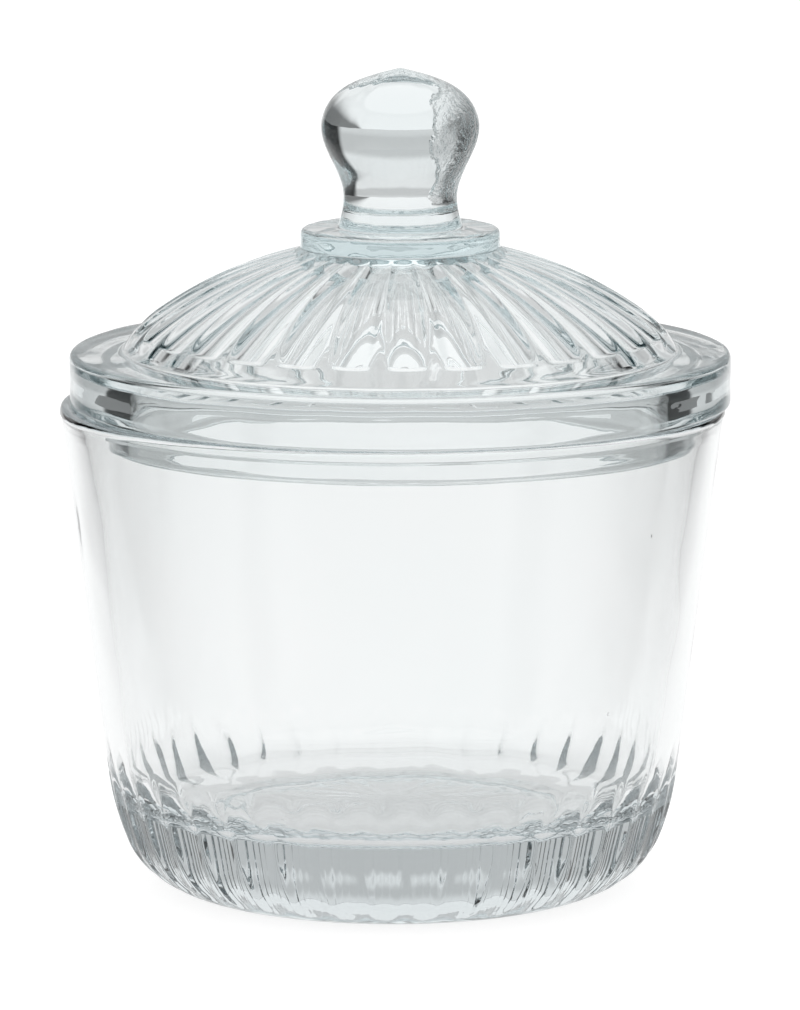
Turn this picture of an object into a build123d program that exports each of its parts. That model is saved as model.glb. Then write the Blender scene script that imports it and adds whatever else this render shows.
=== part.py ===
from build123d import *
import math
import os

# Pressed-glass apothecary jar with a loose domed lid, in millimetres.
#
# Two pieces: the jar, a tapered glass pot with scooped flutes around its heel, and the lid, one
# pressing of knob, disc, fluted dome, flange and locating spigot. The origin is the centre of the
# jar's resting ring, +Z up. The lid rests on the rim, a little off centre within its play.

# Jar: outside
heel_flutes = 40
rest_ring_outer_r = 37.0
rest_ring_inner_r = 31.5
recess_depth = 1.2
wall_foot_r = 51.75
wall_foot_z = 20.9
heel_join_r = 48.9
heel_join_z = 9.6
wall_top_r = 59.5
wall_top_z = 84.0
rim_r = 60.1
rim_z = 88.3
rim_round = 1.2
bead_foot_in = 0.35
bead_foot_down = 0.85
bead_mid_angle = 20.0

# Jar: inside
floor_z = 16.0
floor_edge_r = 47.3
mouth_r = 55.7
mouth_round = 0.8
inner_corner_r = 8.0

# Jar: scooped flutes around the heel
heel_flute_r = 8.0
heel_flute_depth = 1.0
heel_flute_drop = 0.8
heel_flute_tilt = 15.0
heel_flute_turn = 50.0
heel_flute_start = 7.3
heel_arc_centre_r = 34.57
heel_arc_centre_z = 15.19
heel_arc_r = 15.38
heel_bar_up = 26.0
heel_bar_down = 14.0

# Lid: dome, flange and spigot
lid_shift = 1.4
dome_flutes = 30
dome_r = 77.0
dome_top_z = 118.4
dome_thickness = 5.0
dome_edge_r = 44.0
dome_base_r = 50.2
dome_mid_r = 24.0
flange_r = 59.65
flange_top_z = 97.8
flange_top_round = 1.2
flange_bottom_round = 0.6
spigot_root_r = 53.5
spigot_tip_r = 53.0
spigot_bore_r = 48.6
spigot_tip_z = 81.8
spigot_round = 0.9
hollow_r = 47.8
hollow_round = 5.0

# Lid: scooped flutes on the dome
dome_flute_r = 9.0
dome_flute_start = 7.5
dome_flute_in = (9.0, 0.22)
dome_flute_mid = (34.0, 0.75)
dome_flute_out = (51.0, 1.22)
dome_flute_end_z = 98.2

# Lid: disc and knob
disc_r = 18.0
disc_top_z = 120.0
disc_round = 1.2
disc_root_in = 1.0
disc_root_down = 2.4
disc_sunk = 3.0
knob_foot_r = 11.3
knob_waist_r = 10.3
knob_waist_z = 126.5
knob_belly_r = 14.25
knob_belly_z = 138.6
knob_shoulder_r = 12.4
knob_shoulder_z = 143.1
knob_crown_r = 4.8
knob_crown_z = 147.5
knob_tip_z = 148.8
knob_tip_tangent = (-1, 0.25)
knob_foot_tangent = (-0.3, 1)

# Wedge that keeps a flute's cutter inside its own sector
wedge_slack = 0.1
wedge_reach = 90.0
wedge_height = 80.0
wedge_base_z = -20.0

lid_axis = Axis((lid_shift, 0, 0), (0, 0, 1))


def section_at(angle, shift=0.0):
    """Upright section plane through a vertical axis, with its +X turned by an angle."""
    turn = math.radians(angle)
    return Plane(
        origin=(shift, 0, 0),
        x_dir=(math.cos(turn), math.sin(turn), 0),
        z_dir=(math.sin(turn), -math.cos(turn), 0),
    )


# Both revolves start on a ridge, so that no seam crosses a flute
jar_section = section_at(heel_flute_start - 180 / heel_flutes)
lid_section = section_at(dome_flute_start - 180 / dome_flutes, lid_shift)


def dome_height(radius, inset=0.0):
    """Height of the dome's sphere at a radius from the lid's axis, inset below its ridges."""
    sphere_r = dome_r - inset
    return dome_top_z - dome_r + math.sqrt(sphere_r**2 - radius**2)


def dome_point(radius, offset):
    """Point of the section at a signed distance outside the dome's ridge line."""
    height = dome_height(radius)
    centre_z = dome_top_z - dome_r
    grow = (dome_r + offset) / dome_r
    return (radius * grow, centre_z + (height - centre_z) * grow)


def dome_bar_point(radius, depth):
    """Middle of the dome flute's bar where it cuts to a depth at a radius from the lid's axis."""
    return dome_point(radius, dome_flute_r - depth)


def heel_plane(angle):
    """Plane across the heel flute's bar, where it leans out by an angle, facing up the wall."""
    turn = math.radians(angle)
    distance = heel_arc_r - heel_flute_depth + heel_flute_r
    centre = (
        heel_arc_centre_r + distance * math.cos(turn),
        0,
        heel_arc_centre_z - heel_flute_drop - distance * math.sin(turn),
    )
    return Plane(origin=centre, z_dir=(math.sin(turn), 0, math.cos(turn)))


# Cutter for one heel flute: a round bar that runs down the wall and around the heel
bar_upper = heel_plane(heel_flute_tilt)
bar_lower = heel_plane(heel_flute_turn)
bar_bend = Axis((heel_arc_centre_r, 0, heel_arc_centre_z - heel_flute_drop), (0, 1, 0))

with BuildPart() as heel_cutter:
    with BuildSketch(bar_upper) as bar_round:
        Circle(heel_flute_r)
    extrude(amount=heel_bar_up)
    revolve(bar_round.sketch, axis=bar_bend, revolution_arc=heel_flute_turn - heel_flute_tilt)
    with BuildSketch(bar_lower):
        Circle(heel_flute_r)
    extrude(amount=-heel_bar_down)
    half_width = wedge_reach * math.tan(math.radians(180 / heel_flutes - wedge_slack))
    with BuildSketch(Plane.XY.offset(wedge_base_z)):
        Polygon((0, 0), (wedge_reach, -half_width), (wedge_reach, half_width), align=None)
    extrude(amount=wedge_height, mode=Mode.INTERSECT)

# One sector of the jar, from ridge to ridge, with its flute
with BuildPart() as jar_sector:
    with BuildSketch(jar_section):
        with BuildLine():
            Line((0, recess_depth), (rest_ring_inner_r - recess_depth, recess_depth))
            Line((rest_ring_inner_r - recess_depth, recess_depth), (rest_ring_inner_r, 0))
            Line((rest_ring_inner_r, 0), (rest_ring_outer_r, 0))
            wall = Line((wall_foot_r, wall_foot_z), (wall_top_r, wall_top_z))
            upper_heel = TangentArc(
                (wall_foot_r, wall_foot_z), (heel_join_r, heel_join_z), tangent=-(wall % 0)
            )
            TangentArc(
                (heel_join_r, heel_join_z), (rest_ring_outer_r, 0), tangent=upper_heel % 1
            )
            bead_z = rim_z - rim_round
            bead_r = rim_r - rim_round
            bead_turn = math.radians(bead_mid_angle)
            bead_foot = (rim_r - bead_foot_in, bead_z - bead_foot_down)
            bead_mid = (
                bead_r + rim_round * math.cos(bead_turn),
                bead_z + rim_round * math.sin(bead_turn),
            )
            Line((wall_top_r, wall_top_z), bead_foot)
            ThreePointArc(bead_foot, bead_mid, (bead_r, rim_z))
            Line((bead_r, rim_z), (mouth_r + mouth_round, rim_z))
            Line((mouth_r + mouth_round, rim_z), (mouth_r, rim_z - mouth_round))
            Line((mouth_r, rim_z - mouth_round), (floor_edge_r, floor_z))
            Line((floor_edge_r, floor_z), (0, floor_z))
            Line((0, floor_z), (0, recess_depth))
        make_face()
        inner_corner = vertices().sort_by_distance((floor_edge_r, floor_z))[0]
        fillet(inner_corner, radius=inner_corner_r)
    revolve(axis=Axis.Z, revolution_arc=360 / heel_flutes)
    with PolarLocations(0, 1, start_angle=heel_flute_start):
        add(heel_cutter.part, mode=Mode.SUBTRACT)

# Jar: its sectors joined
with BuildPart() as jar:
    with PolarLocations(0, heel_flutes):
        add(jar_sector.part, clean=False)

# Cutter for one dome flute: a round bar that follows the dome and deepens towards its edge
with BuildLine(Plane.XZ) as dome_bar_path:
    ThreePointArc(
        dome_bar_point(*dome_flute_in),
        dome_bar_point(*dome_flute_mid),
        dome_bar_point(*dome_flute_out),
    )

with BuildPart() as dome_cutter:
    with BuildSketch(Plane(origin=dome_bar_path.line @ 0, z_dir=dome_bar_path.line % 0)):
        Circle(dome_flute_r)
    sweep(path=dome_bar_path.line)
    half_width = wedge_reach * math.tan(math.radians(180 / dome_flutes - wedge_slack))
    with BuildSketch(Plane.XY.offset(dome_flute_end_z)):
        Polygon((0, 0), (wedge_reach, -half_width), (wedge_reach, half_width), align=None)
    extrude(amount=wedge_height, mode=Mode.INTERSECT)

# Lid
with BuildPart() as lid:
    with BuildSketch(lid_section):
        with BuildLine():
            dome_line = ThreePointArc(
                (0, dome_top_z), dome_point(dome_mid_r, 0), dome_point(dome_edge_r, 0)
            )
            TangentArc(dome_line @ 1, (dome_base_r, flange_top_z), tangent=dome_line % 1)
            Polyline(
                (dome_base_r, flange_top_z),
                (flange_r, flange_top_z),
                (flange_r, rim_z),
                (spigot_root_r, rim_z),
                (spigot_tip_r, spigot_tip_z),
                (spigot_bore_r, spigot_tip_z),
                (hollow_r, dome_height(hollow_r, dome_thickness)),
            )
            ThreePointArc(
                (hollow_r, dome_height(hollow_r, dome_thickness)),
                (dome_mid_r, dome_height(dome_mid_r, dome_thickness)),
                (0, dome_top_z - dome_thickness),
            )
            Line((0, dome_top_z - dome_thickness), (0, dome_top_z))
        make_face()
        rounds = (
            ((flange_r, flange_top_z), flange_top_round),
            ((flange_r, rim_z), flange_bottom_round),
            ((spigot_tip_r, spigot_tip_z), spigot_round),
            ((spigot_bore_r, spigot_tip_z), spigot_round),
            ((hollow_r, dome_height(hollow_r, dome_thickness)), hollow_round),
        )
        for (corner_r, corner_z), radius in rounds:
            corner = vertices().sort_by_distance((corner_r, corner_z))[0]
            fillet(corner, radius=radius)
    revolve(axis=lid_axis)
    with Locations((lid_shift, 0, 0)):
        with PolarLocations(0, dome_flutes, start_angle=dome_flute_start):
            add(dome_cutter.part, mode=Mode.SUBTRACT)
    with BuildSketch(lid_section):
        with BuildLine():
            Polyline(
                (0, dome_top_z - disc_sunk),
                (disc_r - disc_root_in, dome_top_z - disc_sunk),
                (disc_r, dome_top_z - disc_root_down),
                (disc_r, disc_top_z - disc_round),
            )
            RadiusArc(
                (disc_r, disc_top_z - disc_round), (disc_r - disc_round, disc_top_z), -disc_round
            )
            Line((disc_r - disc_round, disc_top_z), (knob_foot_r, disc_top_z))
            Spline(
                (knob_foot_r, disc_top_z),
                (knob_waist_r, knob_waist_z),
                (knob_belly_r, knob_belly_z),
                (knob_shoulder_r, knob_shoulder_z),
                (knob_crown_r, knob_crown_z),
                (0, knob_tip_z),
                tangents=(knob_foot_tangent, knob_tip_tangent),
            )
            Line((0, knob_tip_z), (0, dome_top_z - disc_sunk))
        make_face()
    revolve(axis=lid_axis)

os.makedirs("parts", exist_ok=True)

jar.part.label = "jar"
export_step(jar.part, "parts/jar.step")

lid.part.label = "lid"
export_step(lid.part, "parts/lid.step")

print("jar volume cm3", round(jar.part.volume / 1000, 1), "valid", jar.part.is_valid)
print("lid volume cm3", round(lid.part.volume / 1000, 1), "valid", lid.part.is_valid)
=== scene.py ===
"""Looks of the pressed-glass apothecary jar: glass meshes, materials, studio and camera.

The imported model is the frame. Both of its nodes are replaced by finer meshes of the same shape,
turned around their own axis from the same outline, with the scooped flutes pressed in.
Outlines are in millimetres, as (radius, height) in a half-plane through the axis.
"""

import math

import bpy
import numpy as np
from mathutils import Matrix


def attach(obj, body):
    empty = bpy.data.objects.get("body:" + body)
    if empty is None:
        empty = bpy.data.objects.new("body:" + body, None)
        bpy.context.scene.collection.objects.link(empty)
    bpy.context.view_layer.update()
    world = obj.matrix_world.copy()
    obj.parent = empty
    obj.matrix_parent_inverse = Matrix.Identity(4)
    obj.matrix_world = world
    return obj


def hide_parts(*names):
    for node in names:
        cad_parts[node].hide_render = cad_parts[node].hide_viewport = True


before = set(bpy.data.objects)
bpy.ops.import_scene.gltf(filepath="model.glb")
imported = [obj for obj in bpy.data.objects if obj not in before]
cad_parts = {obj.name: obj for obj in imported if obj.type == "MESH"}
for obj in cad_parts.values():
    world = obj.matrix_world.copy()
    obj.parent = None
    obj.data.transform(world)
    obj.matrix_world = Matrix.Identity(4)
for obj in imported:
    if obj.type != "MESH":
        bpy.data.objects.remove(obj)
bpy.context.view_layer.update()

MM = 0.001
RIPPLE_SEED = 7
rng = np.random.default_rng(RIPPLE_SEED)

# Jar: outside
HEEL_FLUTES = 40
REST_RING = (31.5, 37.0)
RECESS_DEPTH = 1.2
WALL_FOOT = (51.75, 20.9)
HEEL_JOIN = (48.9, 9.6)
WALL_TOP = (59.5, 84.0)
RIM_R = 60.1
RIM_Z = 88.3
FLUTED_SHARE = 0.14
RECESS_ROUND = 0.8
REST_ROUND = 0.6
SHOULDER_ROUND = 3.0

# Jar: the rim bead's corners, as (how far inside the rim's radius, how far below its top, rounding)
BEAD = ((0.25, 2.2, 0.6), (0.0, 1.5, 0.6), (0.1, 0.0, 1.1))

# Jar: inside
FLOOR_Z = 16.0
FLOOR_EDGE_R = 47.3
MOUTH_R = 55.7
MOUTH_ROUND = 0.9
INNER_CORNER_R = 8.0

# Jar: the round bar whose path scoops a heel flute
HEEL_BAR_R = 8.0
HEEL_BAR_DEPTH = 1.0
HEEL_BAR_DROP = 0.8
HEEL_BAR_TILTS = (15.0, 50.0)
HEEL_BAR_START = 7.3
HEEL_ARC_CENTRE = (34.57, 15.19)
HEEL_ARC_R = 15.38
HEEL_SCOOP_TOP = 35.0
HEEL_SCOOP_FADE = (0.4, 1.6)

# Lid
LID_SHIFT = 1.4
DOME_FLUTES = 30
DOME_R = 77.0
DOME_TOP_Z = 118.4
DOME_THICKNESS = 5.0
DOME_EDGE_R = 44.0
DOME_BASE_R = 50.2
FLANGE_R = 59.65
FLANGE_TOP_Z = 97.8
FLANGE_TOP_ROUND = 1.2
FLANGE_UNDER_ROUND = 0.6
SEAT_GAP = 0.08
SPIGOT_ROOT_R = 53.5
SPIGOT_TIP_R = 53.0
SPIGOT_BORE_R = 48.6
SPIGOT_TIP_Z = 81.8
SPIGOT_ROOT_ROUND = 0.4
SPIGOT_TIP_ROUND = 0.9
HOLLOW_R = 47.8
HOLLOW_ROUND = 5.0
HOLLOW_EDGE_WIDTH = 4.0

# Lid: the round bar whose path scoops a dome flute
DOME_BAR_R = 9.0
DOME_BAR_START = 7.5
DOME_BAR_DEPTHS = ((9.0, 0.22), (34.0, 0.75), (51.0, 1.22))
DOME_BAR_END_Z = 98.2
DOME_SCOOP_FADE = 0.8
DISC_SCOOP_FADE = (0.5, 1.5)

# Disc and knob
DISC_R = 18.0
DISC_TOP_Z = 120.0
DISC_TOP_ROUND = 1.2
DISC_FOOT_ROUND = 0.4
DISC_FOOT_UP = 0.2
DISC_FOOT_WIDTH = 2.0
KNOB_TIP_HEADING = (1, -0.25)
KNOB_FOOT_HEADING = (0.3, -1)
KNOB = ((11.3, 120.0), (10.3, 126.5), (14.25, 138.6), (12.4, 143.1), (4.8, 147.5), (0.0, 148.8))

# Camera, as a distance from the jar's axis, a height and a downward pitch
CAMERA_DISTANCE = 1.25
CAMERA_HEIGHT = 0.2789
CAMERA_PITCH = 9.52
CAMERA_SIDE = 0.00136
CAMERA_LENS = 249.4
CAMERA_REACH = 100.0

# How finely each glass is turned: columns to a flute, and how much of them crowds onto the ridges
JAR_COLUMNS = 12
LID_COLUMNS = 16
RIDGE_CROWDING = 0.6

# How much pressing rounds the ridges between flutes, and how uneven it leaves the glass
JAR_RIDGE_ROUND = 0.05
LID_RIDGE_ROUND = 0.07
JAR_UNEVEN = 0.02
LID_UNEVEN = 0.03


# ---------------------------------------------------------------- outlines


def unit(vector):
    vector = np.array(vector, float)
    return vector / np.linalg.norm(vector)


def line(a, b, step):
    """Points from a to b, without a."""
    count = max(1, round(math.dist(a, b) / step))
    t = np.linspace(0, 1, count + 1)[1:, None]
    return np.array(a) + t * (np.array(b) - np.array(a))


def arc(a, b, tangent, step):
    """Points of the arc that leaves a along a tangent and ends at b, without a."""
    a, chord = np.array(a, float), np.array(b, float) - a
    tangent = unit(tangent)
    side = np.array((-tangent[1], tangent[0]))
    radius = chord @ chord / (2 * chord @ side)
    sweep = 2 * math.atan2(chord @ side, chord @ tangent)
    count = max(2, round(abs(radius * sweep) / step))
    angle = np.linspace(0, sweep, count + 1)[1:, None]
    return a + side * radius + radius * (np.sin(angle) * tangent - np.cos(angle) * side)


def rounded(start, *corners):
    """Points of a polyline. Each corner is (radius, height, rounding, step of the run up to it)."""
    ends = [np.array(start, float)] + [np.array(c[:2], float) for c in corners]
    here, points = ends[0], [ends[0][None]]
    for i, (_, _, rounding, step) in enumerate(corners, start=1):
        into = unit(ends[i] - ends[i - 1])
        if rounding == 0:
            points.append(line(here, ends[i], step))
            here = ends[i]
            continue
        out = unit(ends[i + 1] - ends[i])
        turn = math.acos(np.clip(into @ out, -1, 1))
        cut = rounding * math.tan(turn / 2)
        first, last = ends[i] - into * cut, ends[i] + out * cut
        points += [line(here, first, step), arc(first, last, into, min(step, rounding * 0.3))]
        here = last
    return np.concatenate(points)


def smooth_through(knots, step, start, end):
    """Points of a curve through knots, with its headings at both ends, without the first knot."""
    knots = np.array(knots, float)
    spans = np.linalg.norm(np.diff(knots, axis=0), axis=1)
    count = len(knots)
    matrix, right = np.eye(count), np.zeros((count, 2))
    right[0], right[-1] = unit(start), unit(end)
    for i in range(1, count - 1):
        a, b = spans[i - 1], spans[i]
        matrix[i, i - 1 : i + 2] = b, 2 * (a + b), a
        right[i] = 3 * (b / a * (knots[i] - knots[i - 1]) + a / b * (knots[i + 1] - knots[i]))
    slopes = np.linalg.solve(matrix, right)
    points = []
    for i, span in enumerate(spans):
        t = np.linspace(0, 1, max(2, round(span / step)) + 1)[1:, None]
        points.append(
            (2 * t**3 - 3 * t**2 + 1) * knots[i]
            + (t**3 - 2 * t**2 + t) * span * slopes[i]
            + (3 * t**2 - 2 * t**3) * knots[i + 1]
            + (t**3 - t**2) * span * slopes[i + 1]
        )
    return np.concatenate(points)


def jar_outline():
    """The jar's section: from the middle of its underside, up the outside, down to its floor."""
    underside = rounded(
        (0, RECESS_DEPTH),
        (REST_RING[0] - RECESS_DEPTH, RECESS_DEPTH, RECESS_ROUND, 2.5),
        (REST_RING[0], 0, REST_ROUND, 0.6),
        (REST_RING[1], 0, 0, 0.9),
    )
    wall = np.array(WALL_TOP) - WALL_FOOT
    upper = arc(WALL_FOOT, HEEL_JOIN, -wall, 0.6)
    lower = arc(HEEL_JOIN, (REST_RING[1], 0), upper[-1] - upper[-2], 0.5)
    heel = np.concatenate((np.array([WALL_FOOT]), upper, lower[:-1]))[::-1]
    fluted = line(WALL_FOOT, WALL_FOOT + FLUTED_SHARE * wall, 0.8)
    bead_steps = (0.5, 0.3, 0.3)
    bead = [(RIM_R - i, RIM_Z - d, rounding, step) for (i, d, rounding), step in zip(BEAD, bead_steps)]
    above = rounded(
        fluted[-1],
        (*WALL_TOP, SHOULDER_ROUND, 2.6),
        *bead,
        (MOUTH_R, RIM_Z, MOUTH_ROUND, 0.6),
        (FLOOR_EDGE_R, FLOOR_Z, INNER_CORNER_R, 2.6),
        (0, FLOOR_Z, 0, 1.8),
    )
    return np.concatenate((underside, heel, fluted, above[1:]))


def dome_height(radius, inset=0.0):
    """Height of the dome's sphere at a radius from the lid's axis, inset below its ridges."""
    return DOME_TOP_Z - DOME_R + math.sqrt((DOME_R - inset) ** 2 - radius**2)


def lid_outline():
    """The lid's section: from the knob's tip, down the outside, to the middle of its hollow."""
    knob = smooth_through(KNOB[::-1], 1.0, KNOB_TIP_HEADING, KNOB_FOOT_HEADING)
    foot_r = DISC_R + DISC_FOOT_WIDTH
    disc = rounded(
        KNOB[0],
        (DISC_R, DISC_TOP_Z, DISC_TOP_ROUND, 0.8),
        (DISC_R, dome_height(DISC_R) + DISC_FOOT_UP, DISC_FOOT_ROUND, 0.5),
        (foot_r, dome_height(foot_r), 0, 0.5),
    )
    top = disc[-1]
    edge = np.array((DOME_EDGE_R, dome_height(DOME_EDGE_R)))
    centre = np.array((0, DOME_TOP_Z - DOME_R))
    heading = np.array((top[1] - centre[1], -top[0]))
    dome = arc(top, edge, heading, 0.95)
    shoulder = arc(edge, (DOME_BASE_R, FLANGE_TOP_Z), (edge[1] - centre[1], -edge[0]), 0.45)
    inner_edge = dome_height(HOLLOW_R, DOME_THICKNESS)
    inner_r = HOLLOW_R - HOLLOW_EDGE_WIDTH
    below = rounded(
        (DOME_BASE_R, FLANGE_TOP_Z),
        (FLANGE_R, FLANGE_TOP_Z, FLANGE_TOP_ROUND, 0.8),
        (FLANGE_R, RIM_Z + SEAT_GAP, FLANGE_UNDER_ROUND, 0.9),
        (SPIGOT_ROOT_R, RIM_Z + SEAT_GAP, SPIGOT_ROOT_ROUND, 0.8),
        (SPIGOT_TIP_R, SPIGOT_TIP_Z, SPIGOT_TIP_ROUND, 0.8),
        (SPIGOT_BORE_R, SPIGOT_TIP_Z, SPIGOT_TIP_ROUND, 0.8),
        (HOLLOW_R, inner_edge, HOLLOW_ROUND, 1.2),
        (inner_r, dome_height(inner_r, DOME_THICKNESS), 0, 1.0),
    )
    last = below[-1]
    hollow = arc(last, (0, DOME_TOP_Z - DOME_THICKNESS), (-(last[1] - centre[1]), last[0]), 2.6)
    return np.concatenate((KNOB[-1:], knob, disc[1:], dome, shoulder, below[1:], hollow))


# ---------------------------------------------------------------- flutes


def circle_through(a, b, c):
    """Centre and radius of the circle through three points."""
    a, b, c = (np.array(p, float) for p in (a, b, c))
    centre = np.linalg.solve(2 * np.array((b - a, c - a)), (b @ b - a @ a, c @ c - a @ a))
    return centre, math.dist(centre, a)


def heel_scoop(across, radius, z):
    """How far a point, turned into its own flute's half-plane, lies inside the heel's bar."""
    bar_arc = HEEL_ARC_R - HEEL_BAR_DEPTH + HEEL_BAR_R
    r, h = radius - HEEL_ARC_CENTRE[0], z - HEEL_ARC_CENTRE[1] + HEEL_BAR_DROP
    tilt = np.arctan2(-h, r)
    distance = np.abs(np.hypot(r, h) - bar_arc)
    low, high = (math.radians(t) for t in HEEL_BAR_TILTS)
    for limit, beyond in ((low, tilt < low), (high, tilt > high)):
        straight = np.abs(r * math.cos(limit) - h * math.sin(limit) - bar_arc)
        distance = np.where(beyond, straight, distance)
    return HEEL_BAR_R - np.hypot(distance, across)


def dome_bar_point(radius, depth):
    """Where the bar's middle lies above the dome's ridge line."""
    centre = np.array((0, DOME_TOP_Z - DOME_R))
    ridge = np.array((radius, dome_height(radius)))
    return centre + (ridge - centre) * (DOME_R + DOME_BAR_R - depth) / DOME_R


DOME_BAR_CENTRE, DOME_BAR_ARC = circle_through(*(dome_bar_point(*d) for d in DOME_BAR_DEPTHS))


def dome_scoop(across, radius, z):
    """How far a point, turned into its own flute's half-plane, lies inside the dome's bar."""
    distance = np.hypot(radius - DOME_BAR_CENTRE[0], z - DOME_BAR_CENTRE[1]) - DOME_BAR_ARC
    return DOME_BAR_R - np.hypot(distance, across)


def ramp(values, low, high):
    """0 below low and 1 above high, with a straight run between."""
    return np.clip((values - low) / (high - low), 0, 1)


def first_half(rows):
    """True on the half of an outline's rows that comes first, which is the outside of the glass."""
    return np.arange(len(rows)) < len(rows) / 2


def heel_part(rows):
    """1 on the rows of the jar's outline that can be scooped, and 0 on the rest."""
    outside = (rows[:, 0] > REST_RING[1]) & (rows[:, 1] < HEEL_SCOOP_TOP) & first_half(rows)
    return outside * ramp(rows[:, 1], *HEEL_SCOOP_FADE)


def dome_part(rows):
    """1 on the rows of the lid's outline that can be scooped, and 0 on the rest."""
    from_disc = ramp(rows[:, 0] - DISC_R, *DISC_SCOOP_FADE)
    above_foot = ramp(rows[:, 1] - DOME_BAR_END_Z, 0, DOME_SCOOP_FADE)
    return first_half(rows) * (rows[:, 1] < DOME_TOP_Z) * from_disc * above_foot


# ---------------------------------------------------------------- turned glass


def outward_normals(outline):
    """Normals of an outline's inner points, and whether the outline runs against them."""
    along = np.gradient(outline, axis=0)[1:-1]
    normals = np.stack((along[:, 1], -along[:, 0]), axis=1)
    normals /= np.linalg.norm(normals, axis=1)[:, None]
    runs_down = bool(np.sum(outline[:-1, 0] * np.diff(outline[:, 1])) < 0)
    return (-normals if runs_down else normals), runs_down


def lathe_faces(rows, columns):
    """Faces between rows of points that close around the axis, and two fans to the poles after them."""
    i = np.arange(rows - 1)[:, None] * columns
    j = np.arange(columns)
    k = (j + 1) % columns
    quads = np.stack((i + j, i + k, i + k + columns, i + j + columns), axis=2).reshape(-1, 4)
    last_row = (rows - 1) * columns
    first_pole = rows * columns
    faces = quads.tolist()
    faces += [(first_pole, int(b), int(a)) for a, b in zip(j, k)]
    faces += [(first_pole + 1, int(last_row + a), int(last_row + b)) for a, b in zip(j, k)]
    return faces


def turned(name, outline, flutes, start, scoop, part, columns, ridge_round, centre_x, ripple):
    """A closed mesh of revolution, with flutes pressed into part of its outline."""
    rows = outline[1:-1]
    normals, runs_down = outward_normals(outline)
    pitch = 2 * math.pi / flutes
    t = np.arange(flutes * columns) / columns
    from_start = (t - 0.5 - RIDGE_CROWDING * np.sin(2 * math.pi * t) / (2 * math.pi)) * pitch
    angle = math.radians(start) + from_start
    turn = (from_start + pitch / 2) % pitch - pitch / 2
    r, z = rows[:, :1] + 0 * angle, rows[:, 1:] + 0 * angle
    inside = scoop(r * np.sin(turn), r * np.cos(turn), z)
    depth = ridge_round * np.logaddexp(0, inside / ridge_round) * part(rows)[:, None]
    depth = depth + ripple(angle, r, z)
    r, z = r - normals[:, :1] * depth, z - normals[:, 1:] * depth
    rings = np.stack((r * np.cos(angle) + centre_x, r * np.sin(angle), z), axis=2).reshape(-1, 3)
    poles = np.array([(centre_x, 0, outline[0, 1]), (centre_x, 0, outline[-1, 1])])
    vertices = np.concatenate((rings, poles)) * MM
    mesh = bpy.data.meshes.new(name)
    mesh.from_pydata(vertices.tolist(), [], lathe_faces(len(rows), len(angle)))
    if runs_down:
        mesh.flip_normals()
    mesh.shade_smooth()
    mesh.update()
    piece = bpy.data.objects.new(name, mesh)
    bpy.context.collection.objects.link(piece)
    return piece


# Waves around the glass, their slope along it, and where they fade: towards the axis and the base
WAVES = 14
WAVES_AROUND = (2, 26)
WAVE_SLOPE = 0.35
WAVE_LEAN = 0.7
WAVE_FADE_R = 15.0
WAVE_FADE_Z = 3.0


def rippled(amplitude):
    """A gentle seeded unevenness that closes on itself around the axis."""
    around = rng.integers(*WAVES_AROUND, WAVES)
    upward = rng.uniform(-WAVE_SLOPE, WAVE_SLOPE, WAVES)
    phase = rng.uniform(0, 2 * math.pi, WAVES)
    share = amplitude / math.sqrt(WAVES)

    def ripple(angle, r, z):
        total = 0 * r
        for m, k, p in zip(around, upward, phase):
            total += share * np.cos(m * angle + k * (z + WAVE_LEAN * r) + p)
        return total * np.clip(r / WAVE_FADE_R, 0, 1) * np.clip(z / WAVE_FADE_Z, 0, 1)

    return ripple


jar = turned(
    "glass_jar", jar_outline(), HEEL_FLUTES, HEEL_BAR_START, heel_scoop, heel_part,
    JAR_COLUMNS, JAR_RIDGE_ROUND, 0.0, rippled(JAR_UNEVEN),
)
lid = turned(
    "glass_lid", lid_outline(), DOME_FLUTES, DOME_BAR_START, dome_scoop, dome_part,
    LID_COLUMNS, LID_RIDGE_ROUND, LID_SHIFT, rippled(LID_UNEVEN),
)
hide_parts("jar")
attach(jar, "jar")
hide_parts("lid")
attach(lid, "lid")


# ---------------------------------------------------------------- materials


class Graph:
    """Short calls for the arithmetic of a node tree."""

    def __init__(self, tree):
        self.tree = tree

    def node(self, kind, **settings):
        node = self.tree.nodes.new(kind)
        for key, value in settings.items():
            setattr(node, key, value)
        return node

    def feed(self, socket, value):
        if isinstance(value, bpy.types.NodeSocket):
            self.tree.links.new(value, socket)
        else:
            socket.default_value = value

    def math(self, operation, *values):
        node = self.node("ShaderNodeMath", operation=operation)
        for socket, value in zip(node.inputs, values):
            self.feed(socket, value)
        return node.outputs[0]

    def step(self, value, low, high):
        """0 below low and 1 above high, with a soft edge between."""
        node = self.node("ShaderNodeMapRange", interpolation_type="SMOOTHSTEP")
        self.feed(node.inputs["Value"], value)
        self.feed(node.inputs["From Min"], low)
        self.feed(node.inputs["From Max"], high)
        return node.outputs["Result"]

    def band(self, value, low, high, soft):
        """1 between low and high and 0 outside, with soft edges."""
        rise = self.step(value, low - soft, low + soft)
        fall = self.step(value, high - soft, high + soft)
        return self.math("SUBTRACT", rise, fall)


# The glass's relief, in metres: a broad ripple, a fine orange peel, and seeds near the surface
JAR_RIPPLE = 0.00004
LID_RIPPLE = 0.0001
RIPPLE_SCALE = 62.0
JAR_PEEL = 0.000002
LID_PEEL = 0.000006
PEEL_SCALE = 260.0
SEED_SCALE = 75.0
SEED_SIZE = 0.03
SEED_RARITY = 0.8
SEED_HEIGHT = 0.00012

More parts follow.
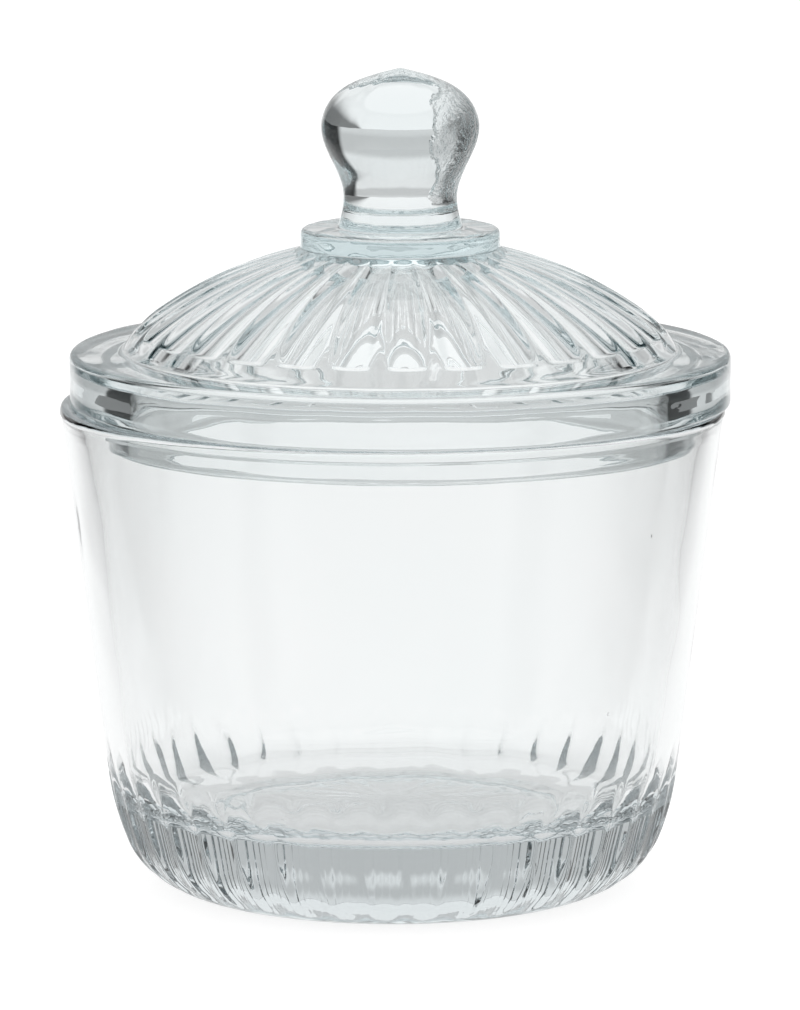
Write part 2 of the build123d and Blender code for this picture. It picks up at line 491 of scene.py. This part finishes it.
# The crazed side of the knob, in metres: a ragged edge across X, and crumbs within it
CRAZE_X = 0.0105
CRAZE_EDGE = 0.0006
CRAZE_Z = (0.126, 0.1455)
CRAZE_FADE = 0.0015
CRAZE_RAGGED = 0.006
CRAZE_RAGGED_SCALE = 170.0
CRAZE_HEIGHT = 0.0012
CRAZE_CRUMB_SCALE = 850.0

# Faint bloom and shade over the surface
BLOOM_SCALE = 38.0
BLOOM_EDGES = (0.42, 0.75)
BLOOM_ROUGHNESS = 0.012
SHADE_SCALE = 22.0
SHADE_TINT = (0.965, 0.985, 0.985, 1)

# Light taken per metre of glass, for red, green and blue
GLASS_IOR = 1.52
ABSORPTION_DENSITY = 12.0
JAR_ABSORBED = (3.3, 2.7, 2.5)
LID_ABSORBED = (5.0, 3.4, 3.1)


def glass(name, absorbed, ripple, peel, crazed):
    """Clear pressed glass: rippled, with seeds, faint bloom, and a colour that builds up with depth."""
    material = bpy.data.materials.new(name)
    material.use_nodes = True
    graph = Graph(material.node_tree)
    surface = material.node_tree.nodes["Principled BSDF"]
    place = graph.node("ShaderNodeTexCoord").outputs["Object"]

    def noise(scale, detail):
        node = graph.node("ShaderNodeTexNoise")
        graph.feed(node.inputs["Vector"], place)
        node.inputs["Scale"].default_value = scale
        node.inputs["Detail"].default_value = detail
        return node.outputs["Fac"]

    bloom = graph.step(noise(BLOOM_SCALE, 3.0), *BLOOM_EDGES)
    graph.feed(surface.inputs["Roughness"], graph.math("MULTIPLY", bloom, BLOOM_ROUGHNESS))
    shade = graph.node("ShaderNodeMix", data_type="RGBA")
    graph.feed(shade.inputs["Factor"], noise(SHADE_SCALE, 2.0))
    shade.inputs["A"].default_value = (1, 1, 1, 1)
    shade.inputs["B"].default_value = SHADE_TINT
    graph.feed(surface.inputs["Base Color"], shade.outputs["Result"])

    seeds = graph.node("ShaderNodeTexVoronoi")
    graph.feed(seeds.inputs["Vector"], place)
    seeds.inputs["Scale"].default_value = SEED_SCALE
    kept = graph.node("ShaderNodeSeparateColor")
    graph.feed(kept.inputs[0], seeds.outputs["Color"])
    blister = graph.step(seeds.outputs["Distance"], SEED_SIZE, 0.0)
    blister = graph.math("MULTIPLY", blister, graph.math("GREATER_THAN", kept.outputs[0], SEED_RARITY))
    height = graph.math("MULTIPLY", blister, SEED_HEIGHT)
    height = graph.math("MULTIPLY_ADD", noise(RIPPLE_SCALE, 2.0), ripple, height)
    height = graph.math("MULTIPLY_ADD", noise(PEEL_SCALE, 2.0), peel, height)
    if crazed:
        axes = graph.node("ShaderNodeSeparateXYZ")
        graph.feed(axes.inputs[0], place)
        ragged = graph.math("MULTIPLY_ADD", noise(CRAZE_RAGGED_SCALE, 3.0), CRAZE_RAGGED, axes.outputs[0])
        across = graph.step(ragged, CRAZE_X - CRAZE_EDGE, CRAZE_X + CRAZE_EDGE)
        upward = graph.band(axes.outputs[2], *CRAZE_Z, CRAZE_FADE)
        patch = graph.math("MULTIPLY", across, upward)
        crumb = graph.math("MULTIPLY", patch, noise(CRAZE_CRUMB_SCALE, 4.0))
        height = graph.math("MULTIPLY_ADD", crumb, CRAZE_HEIGHT, height)
    bump = graph.node("ShaderNodeBump")
    bump.inputs["Distance"].default_value = 1.0
    graph.feed(bump.inputs["Height"], height)
    graph.feed(surface.inputs["Normal"], bump.outputs[0])

    surface.inputs["IOR"].default_value = GLASS_IOR
    surface.inputs["Transmission Weight"].default_value = 1.0
    volume = graph.node("ShaderNodeVolumeAbsorption")
    volume.inputs["Density"].default_value = ABSORPTION_DENSITY
    volume.inputs["Color"].default_value = (*(1 - a / ABSORPTION_DENSITY for a in absorbed), 1)
    graph.feed(material.node_tree.nodes["Material Output"].inputs["Volume"], volume.outputs[0])
    return material


jar.data.materials.append(glass("jar_glass", JAR_ABSORBED, JAR_RIPPLE, JAR_PEEL, False))
lid.data.materials.append(glass("lid_glass", LID_ABSORBED, LID_RIPPLE, LID_PEEL, True))

# ---------------------------------------------------------------- studio

FLOOR_HALF = 4.0
FLOOR_DROP = 0.0001

floor_mesh = bpy.data.meshes.new("floor")
sides = ((-1, -1), (1, -1), (1, 1), (-1, 1))
corners = [(x * FLOOR_HALF, y * FLOOR_HALF, -FLOOR_DROP) for x, y in sides]
floor_mesh.from_pydata(corners, [], [(0, 1, 2, 3)])
floor = bpy.data.objects.new("floor", floor_mesh)
bpy.context.collection.objects.link(floor)

# Glow of the paper by distance from the jar's axis, with a painted soft shadow where the jar stands.
# The camera sees its outermost value as PAPER_SEEN.
PAPER_GLOW_AND_PAINTED_SHADOW = ((0.028, 0.6), (0.046, 0.76), (0.085, 0.86))
PAPER_SEEN = 1.02
PAPER_GREY = 0.2
PAPER_ROUGHNESS = 0.9

# Where the painted light on the paper fades, in metres: to the sides, which widen away from the jar, and
# in front
SIDE_FADE = (0.30, 0.06)
SIDE_WIDENING = 0.34
FRONT_FADE = (-0.32, -0.08)
SIDE_UNLIT = 0.06
FRONT_UNLIT = 0.35


def white_paper():
    """Pale glowing paper: a painted soft shadow where the jar stands, painted light around and behind the
    jar, dim beyond, and to the camera evenly white beyond the painted shadow.
    """
    paper = bpy.data.materials.new("paper")
    paper.use_nodes = True
    graph = Graph(paper.node_tree)
    surface = paper.node_tree.nodes["Principled BSDF"]
    surface.inputs["Base Color"].default_value = (PAPER_GREY, PAPER_GREY, PAPER_GREY, 1)
    surface.inputs["Roughness"].default_value = PAPER_ROUGHNESS
    surface.inputs["Emission Color"].default_value = (1, 1, 1, 1)
    place = graph.node("ShaderNodeTexCoord").outputs["Object"]
    away = graph.node("ShaderNodeVectorMath", operation="LENGTH")
    graph.feed(away.inputs[0], place)
    # Painted shadow: the paper's glow dims towards the jar's axis, and the camera sees it too.
    glow_and_painted_shadow = PAPER_GLOW_AND_PAINTED_SHADOW[0][1]
    for (near, dim), (far, bright) in zip(PAPER_GLOW_AND_PAINTED_SHADOW, PAPER_GLOW_AND_PAINTED_SHADOW[1:]):
        glow_and_painted_shadow = graph.math("MULTIPLY_ADD", graph.step(away.outputs["Value"], near, far), bright - dim, glow_and_painted_shadow)
    # Painted light: to all rays but the camera's, the glow is bright behind the jar and dims to the sides
    # and in front.
    axes = graph.node("ShaderNodeSeparateXYZ")
    graph.feed(axes.inputs[0], place)
    aside = graph.math("ABSOLUTE", axes.outputs[0])
    along = graph.math("ABSOLUTE", axes.outputs[1])
    aside = graph.math("MULTIPLY_ADD", along, -SIDE_WIDENING, aside)
    sides = graph.math("MULTIPLY_ADD", graph.step(aside, *SIDE_FADE), 1 - SIDE_UNLIT, SIDE_UNLIT)
    forward = graph.step(axes.outputs[1], *FRONT_FADE)
    forward = graph.math("MULTIPLY_ADD", forward, 1 - FRONT_UNLIT, FRONT_UNLIT)
    lit = graph.math("MULTIPLY", sides, forward)
    seen = graph.node("ShaderNodeMix", data_type="FLOAT")
    graph.feed(seen.inputs["Factor"], graph.node("ShaderNodeLightPath").outputs["Is Camera Ray"])
    graph.feed(seen.inputs["A"], graph.math("MULTIPLY", glow_and_painted_shadow, lit))
    graph.feed(seen.inputs["B"], graph.math("ADD", glow_and_painted_shadow, PAPER_SEEN - PAPER_GLOW_AND_PAINTED_SHADOW[-1][1]))
    graph.feed(surface.inputs["Emission Strength"], seen.outputs["Result"])
    return paper


floor_mesh.materials.append(white_paper())

# The studio by bearing from the backdrop's middle and by elevation, in degrees: bearing from,
# bearing to, elevation from, elevation to, soft edge, brightness
LIGHT_PANELS = (
    (-10, 38, -95, -1, 4, 0.86),
    (-10, 38, -1, 15, 3, 0.6),
    (-10, 38, 15, 30, 3, 0.86),
    (-10, 38, 30, 44, 3, 0.6),
    (78, 115, -4, 44, 4, 0.4),
    (128, 190, -95, 44, 4, 0.4),
    (-10, 190, 52, 95, 4, 1.3),
)
STUDIO_GLOOM = 0.02


def studio(world):
    """Light panels with dark gaps between them. The camera itself sees plain white behind."""
    world.use_nodes = True
    graph = Graph(world.node_tree)
    nodes = world.node_tree.nodes
    axes = graph.node("ShaderNodeSeparateXYZ")
    graph.feed(axes.inputs[0], graph.node("ShaderNodeTexCoord").outputs["Generated"])
    x, y, z = axes.outputs
    elevation = graph.math("DEGREES", graph.math("ARCSINE", z))
    bearing = graph.math("ABSOLUTE", graph.math("DEGREES", graph.math("ARCTAN2", x, y)))
    total = STUDIO_GLOOM
    for first, last, low, high, soft, brightness in LIGHT_PANELS:
        inside = graph.math(
            "MULTIPLY", graph.band(bearing, first, last, soft), graph.band(elevation, low, high, soft)
        )
        total = graph.math("MULTIPLY_ADD", inside, brightness, total)
    lit = nodes["Background"]
    graph.feed(lit.inputs["Color"], total)
    plain = graph.node("ShaderNodeBackground")
    plain.inputs["Color"].default_value = (1, 1, 1, 1)
    chosen = graph.node("ShaderNodeMixShader")
    graph.feed(chosen.inputs[0], graph.node("ShaderNodeLightPath").outputs["Is Camera Ray"])
    graph.feed(chosen.inputs[1], lit.outputs[0])
    graph.feed(chosen.inputs[2], plain.outputs[0])
    graph.feed(nodes["World Output"].inputs["Surface"], chosen.outputs[0])


scene = bpy.context.scene
scene.world = bpy.data.worlds.new("studio")
studio(scene.world)

# ---------------------------------------------------------------- camera

camera_data = bpy.data.cameras.new("camera")
camera_data.lens = CAMERA_LENS
camera_data.clip_end = CAMERA_REACH
camera = bpy.data.objects.new("camera", camera_data)
camera.location = (CAMERA_SIDE, -CAMERA_DISTANCE, CAMERA_HEIGHT)
camera.rotation_euler = (math.radians(90 - CAMERA_PITCH), 0, 0)
bpy.context.collection.objects.link(camera)
scene.camera = camera

# Light crosses many glass surfaces before it leaves the heel and the dome
ALL_BOUNCES = 40
GLASS_BOUNCES = 32

scene.view_settings.view_transform = "Standard"
scene.cycles.max_bounces = ALL_BOUNCES
scene.cycles.transmission_bounces = GLASS_BOUNCES
scene.cycles.glossy_bounces = GLASS_BOUNCES
